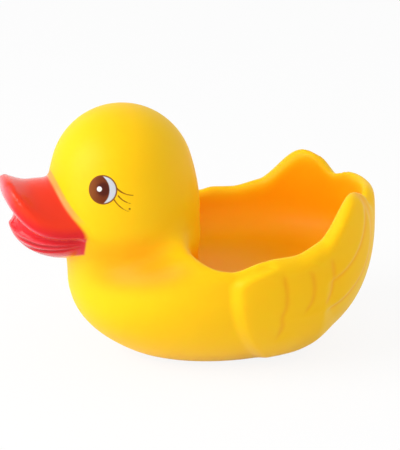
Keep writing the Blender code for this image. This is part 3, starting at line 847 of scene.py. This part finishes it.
def mark_bill(obj, x, y, z):
    over_head = head_form(x, y, z) - PAINT_OVER_HEAD
    on_bill = np.minimum(over_head, PAINT_OFF_BILL - bill_form(x, y, z))
    corner = np.minimum(-PAINT_CORNER_BACKSET - y, PAINT_CORNER_HEIGHT - z)
    over_throat = z - THROAT_HEIGHT - THROAT_SLOPE * x
    painted = np.minimum(np.maximum(on_bill, corner), over_throat)
    store(obj, "bill_paint", painted)
    # Overspray at the paint's edge, lightened as a painted highlight along the upper root of the bill
    store(obj, "bill_overspray_highlight", ramp(*OVERSPRAY_SPAN, painted) * ramp(*OVERSPRAY_HEIGHTS, z))
    along, lip, plan = bill_outline(x, y)
    inset = (1.0 - plan) * BILL_HALF_WIDTH
    above_lip = z - lip
    from_edge = inset + RIM_TINT_SHARE * np.maximum(above_lip - RIM_TINT_START, 0.0)
    store(obj, "bill_inset", np.where(above_lip > LIP_UNDERSIDE, from_edge, LIP_UNDERSIDE))
    wave, folded = bill_folds(x, y, lower_lip_height(along) - z)
    # Painted highlight along the crest of the upper bill's rolled bead, towards its tip and its low edge
    low_or_tip = np.maximum(ramp(*BEAD_HIGHLIGHT_HEIGHTS, above_lip), ramp(*BEAD_TIP_HIGHLIGHT_SPAN, along))
    bead_highlight = swell(inset, *BEAD_HIGHLIGHT) * ramp(*BEAD_HIGHLIGHT_SPAN, along) * low_or_tip
    upper = above_lip > MOUTH_MIDDLE
    # Painted highlight on the crests of the bead and of the lower bill's folds
    store(obj, "bill_crest_highlight", np.where(upper, bead_highlight, (1.0 - wave) * folded))
    # Painted shade in the grooves between the lower bill's folds
    store(obj, "bill_groove_shade", np.where(upper, 0.0, wave * folded))


def mark_vinyl(obj, x, y, z):
    # Painted shade in the crease under the head, where the head shades the shoulder
    above_low_edge = z - CREASE_LOW_HEIGHT - CREASE_LOW_SLOPE * y
    in_crease = ramp(-CREASE_SOFTNESS, CREASE_SOFTNESS, above_low_edge) * ramp(*CREASE_TOP_SPAN, z)
    behind_chest = ramp(*CREASE_SIDE_SPAN, x) * ramp(*CREASE_BACK_SPAN, y)
    store(obj, "neck_painted_shade", in_crease * behind_chest)
    basin = basin_form(x, y, z)
    # Painted shade along the foot of each feather's edge on the wings
    on_side = ramp(*LINE_SIDE_SPAN, x) * ramp(*LINE_RIM_SPAN, basin)
    store(obj, "feather_painted_shade", feather_shade_lines(y, z) * on_side)
    # Painted shade, deepening from the rim down into the basin
    depth = np.clip((rim_edge(x, y) + BASIN_SHADE_START - z) / BASIN_SHADE_DEPTH, 0.0, 1.0)
    store(obj, "basin_painted_shade", depth * ramp(*BASIN_SHADE_EDGE, basin))


def mark_eyes(obj, x, y, z):
    off = np.stack([x, y, z], axis=1) - np.array(EYE_CENTRE)
    u, v = off @ np.array(EYE_REARWARD), off @ np.array(EYE_UPWARD)
    near = EYE_ZONE - np.linalg.norm(off, axis=1)
    strokes = [lash(u, v, *stroke) for stroke in LASHES]
    strokes.append(disc(u, v, FLECK_CENTRE, FLECK_RADIUS))
    store(obj, "eye_round", np.minimum(disc(u, v, (0.0, 0.0), EYE_RADIUS), near))
    store(obj, "eye_iris", disc(u, v, IRIS_CENTRE, IRIS_RADIUS))
    store(obj, "eye_pupil", disc(u, v, PUPIL_CENTRE, PUPIL_RADIUS))
    store(obj, "eye_glint", disc(u, v, GLINT_CENTRE, GLINT_RADIUS))
    store(obj, "eye_lashes", np.minimum(np.maximum.reduce(strokes), near))
    store(obj, "eye_forward", -u)


def mark_paint(obj):
    """Both sides carry the same paint, so each point is placed as if it lay on the left."""
    points = points_of(obj)
    x, y, z = np.abs(points[:, 0]), points[:, 1], points[:, 2]
    mark_bill(obj, x, y, z)
    mark_vinyl(obj, x, y, z)
    mark_eyes(obj, x, y, z)


# Finishes


def linear(code):
    """An sRGB hex code as linear red, green, blue and alpha."""
    channels = [int(code[i : i + 2], 16) / 255.0 for i in (0, 2, 4)]
    return (*[c / 12.92 if c <= 0.04045 else ((c + 0.055) / 1.055) ** 2.4 for c in channels], 1.0)


def add_node(tree, kind, inputs=None, **settings):
    made = tree.nodes.new(kind)
    for name, value in settings.items():
        setattr(made, name, value)
    for key, value in (inputs or {}).items():
        if isinstance(value, bpy.types.NodeSocket):
            tree.links.new(value, made.inputs[key])
        else:
            made.inputs[key].default_value = value
    return made


def new_material(name):
    made = bpy.data.materials.new(name)
    made.use_nodes = True
    made.node_tree.nodes.clear()
    return made, made.node_tree


def masked(tree, attribute, softness, start=0.0):
    """The edge of a colour: 0 outside and 1 inside, as soft as the spray or the print."""
    read = add_node(tree, "ShaderNodeAttribute", attribute_name=attribute)
    return add_node(
        tree,
        "ShaderNodeMapRange",
        {"Value": read.outputs["Fac"], "From Min": start - softness, "From Max": start + softness},
        interpolation_type="SMOOTHSTEP",
    ).outputs["Result"]


def over(tree, under, paint, mask):
    mixed = add_node(tree, "ShaderNodeMix", {0: mask, 6: under, 7: paint}, data_type="RGBA")
    return mixed.outputs[2]


def layered(tree, colour, layers):
    """Lays each layer over the ones before it."""
    for code, attribute, softness, start in layers:
        colour = over(tree, colour, linear(code), masked(tree, attribute, softness, start))
    return colour


def painted_colour(tree, place):
    """The yellow with painted shade in the basin, crease and feather lines, then the spray on the bill
    with its painted highlights and shade, and the print of the eyes.
    """
    # The cloudiness is about 30 mm across
    clouds = add_node(
        tree, "ShaderNodeTexNoise", {"Vector": place, "Scale": CLOUD_SCALE, "Detail": CLOUD_DETAIL}
    )
    deep, pale = (linear(code) for code in VINYL_YELLOWS)
    yellow = over(tree, deep, pale, clouds.outputs["Fac"])
    # Painted shade in the basin, the neck's crease and along the feathers' edges
    colour = layered(tree, yellow, VINYL_PAINTED_SHADES)

    # The bill's red with painted highlights on its crests and painted shade in its grooves
    red = layered(tree, linear(BILL_RED), BILL_TINTS)
    # Overspray lightened as a painted highlight at the bill's root
    colour = layered(tree, colour, OVERSPRAY_AND_HIGHLIGHT)
    colour = over(tree, colour, red, masked(tree, "bill_paint", *BILL_PAINT_EDGE))

    colour = layered(tree, colour, EYE_GROUND)
    iris = layered(tree, linear(IRIS_BROWN), IRIS_TINTS)
    in_iris = masked(tree, "eye_iris", IRIS_SOFTNESS)
    in_eye = masked(tree, "eye_round", IRIS_SOFTNESS, IRIS_OUTLINE)
    in_both = add_node(tree, "ShaderNodeMath", {0: in_iris, 1: in_eye}, operation="MULTIPLY")
    colour = over(tree, colour, iris, in_both.outputs[0])
    return layered(tree, colour, EYE_LIGHT)


def orange_peel(tree, place):
    """The mould's faint orange peel, about 2 mm across and some hundredths deep."""
    peel = add_node(
        tree, "ShaderNodeTexNoise", {"Vector": place, "Scale": PEEL_SCALE, "Detail": PEEL_DETAIL}
    )
    bump = add_node(
        tree,
        "ShaderNodeBump",
        {"Height": peel.outputs["Fac"], "Strength": PEEL_STRENGTH, "Distance": PEEL_DEPTH * MM},
    )
    return bump.outputs["Normal"]


def painted_vinyl():
    """Rotocast soft PVC: satin, lightly translucent, even colour with a faint cloudiness, and painted
    shade in the basin, the neck's crease and along the feathers' edges; the bill is sprayed in red
    lacquer with soft overspray, painted highlights and painted shade, and the eyes are pad printed in
    brown, white and grey."""
    made, tree = new_material("soft_vinyl_rotocast_with_sprayed_bill")
    place = add_node(tree, "ShaderNodeTexCoord").outputs["Object"]
    lacquer = masked(tree, "bill_paint", LACQUER_EDGE)
    roughness = add_node(
        tree,
        "ShaderNodeMapRange",
        {"Value": lacquer, "To Min": VINYL_ROUGHNESS, "To Max": LACQUER_UNDER_ROUGHNESS},
    )
    shader = add_node(
        tree,
        "ShaderNodeBsdfPrincipled",
        {
            "Base Color": painted_colour(tree, place),
            "Roughness": roughness.outputs["Result"],
            "Normal": orange_peel(tree, place),
            "IOR": VINYL_IOR,
            "Specular IOR Level": VINYL_SPECULAR,
            "Coat Weight": lacquer,
            "Coat Roughness": LACQUER_ROUGHNESS,
            "Coat IOR": LACQUER_IOR,
            "Subsurface Weight": SCATTER_SHARE,
            "Subsurface Radius": SCATTER_COLOURS,
            "Subsurface Scale": SCATTER_DEPTH * MM,
        },
    )
    add_node(tree, "ShaderNodeOutputMaterial", {"Surface": shader.outputs["BSDF"]})
    return made


def seen_itself(tree):
    """1 for rays from the camera, straight, mirrored or through glass, and 0 for light on objects."""
    path = add_node(tree, "ShaderNodeLightPath")
    seen = path.outputs["Is Camera Ray"]
    for kind in ("Is Glossy Ray", "Is Transmission Ray"):
        either = add_node(tree, "ShaderNodeMath", {0: seen, 1: path.outputs[kind]}, operation="MAXIMUM")
        seen = either.outputs[0]
    return seen


def pale_table():
    """A matt white table top. Seen by the camera it is lifted to white, and it keeps a soft shadow."""
    made, tree = new_material("matt_white_table")
    matt = add_node(tree, "ShaderNodeBsdfDiffuse", {"Color": linear(TABLE_WHITE)})
    white = add_node(tree, "ShaderNodeEmission", {"Color": (1.0, 1.0, 1.0, 1.0), "Strength": 1.0})
    glow = {0: seen_itself(tree), 1: TABLE_GLOW_SHARE}
    share = add_node(tree, "ShaderNodeMath", glow, operation="MULTIPLY")
    mixed = add_node(
        tree,
        "ShaderNodeMixShader",
        {0: share.outputs[0], 1: matt.outputs["BSDF"], 2: white.outputs["Emission"]},
    )
    add_node(tree, "ShaderNodeOutputMaterial", {"Surface": mixed.outputs["Shader"]})
    return made


# Surroundings


def view_axes():
    a, e = math.radians(CAMERA_AZIMUTH), math.radians(CAMERA_ELEVATION)
    right = Vector((math.cos(a), math.sin(a), 0.0))
    back = Vector((math.sin(a) * math.cos(e), -math.cos(a) * math.cos(e), math.sin(e)))
    return right, back.cross(right), back


def add_camera():
    _, up, back = view_axes()
    data = bpy.data.cameras.new("camera")
    data.lens = CAMERA_LENS
    data.sensor_width = CAMERA_SENSOR
    data.clip_start, data.clip_end = (limit * MM for limit in CAMERA_CLIP)
    made = bpy.data.objects.new("camera", data)
    made.location = (up * CAMERA_RAISE + back * CAMERA_DISTANCE) * MM
    aim = Vector(CAMERA_AIM) * MM
    made.rotation_euler = (aim - made.location).to_track_quat("-Z", "Y").to_euler()
    bpy.context.scene.collection.objects.link(made)
    bpy.context.scene.camera = made


def add_lamp(name, direction, distance, size, power):
    """A square soft box, placed by right, up and back as the camera sees them."""
    right, up, back = view_axes()
    from_aim = right * direction[0] + up * direction[1] + back * direction[2]
    aim = Vector(LAMP_AIM) * MM
    data = bpy.data.lights.new(name, "AREA")
    data.shape = "SQUARE"
    data.size = size * MM
    data.energy = power
    made = bpy.data.objects.new(name, data)
    made.location = aim + from_aim.normalized() * (distance * MM)
    made.rotation_euler = (aim - made.location).to_track_quat("-Z", "Y").to_euler()
    bpy.context.scene.collection.objects.link(made)


def add_table():
    mesh = bmesh.new()
    bmesh.ops.create_grid(mesh, x_segments=1, y_segments=1, size=TABLE_HALF_SIZE * MM)
    table = object_from(mesh, "table_top")
    table.data.materials.append(pale_table())


def light_room():
    world = bpy.data.worlds.new("white_room")
    bpy.context.scene.world = world
    world.use_nodes = True
    tree = world.node_tree
    tree.nodes.clear()
    levels = {"Value": seen_itself(tree), "To Min": ROOM_LIGHT, "To Max": 1.0}
    strength = add_node(tree, "ShaderNodeMapRange", levels)
    background = add_node(
        tree,
        "ShaderNodeBackground",
        {"Color": (1.0, 1.0, 1.0, 1.0), "Strength": strength.outputs["Result"]},
    )
    add_node(tree, "ShaderNodeOutputWorld", {"Surface": background.outputs["Background"]})


def main():
    duck = duck_skin()
    mark_paint(duck)
    duck.data.materials.clear()
    duck.data.materials.append(painted_vinyl())
    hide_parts("duck")
    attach(duck, "root")

    add_table()
    light_room()
    for lamp in LAMPS:
        add_lamp(*lamp)
    add_camera()
    bpy.context.scene.view_settings.view_transform = "Standard"


main()
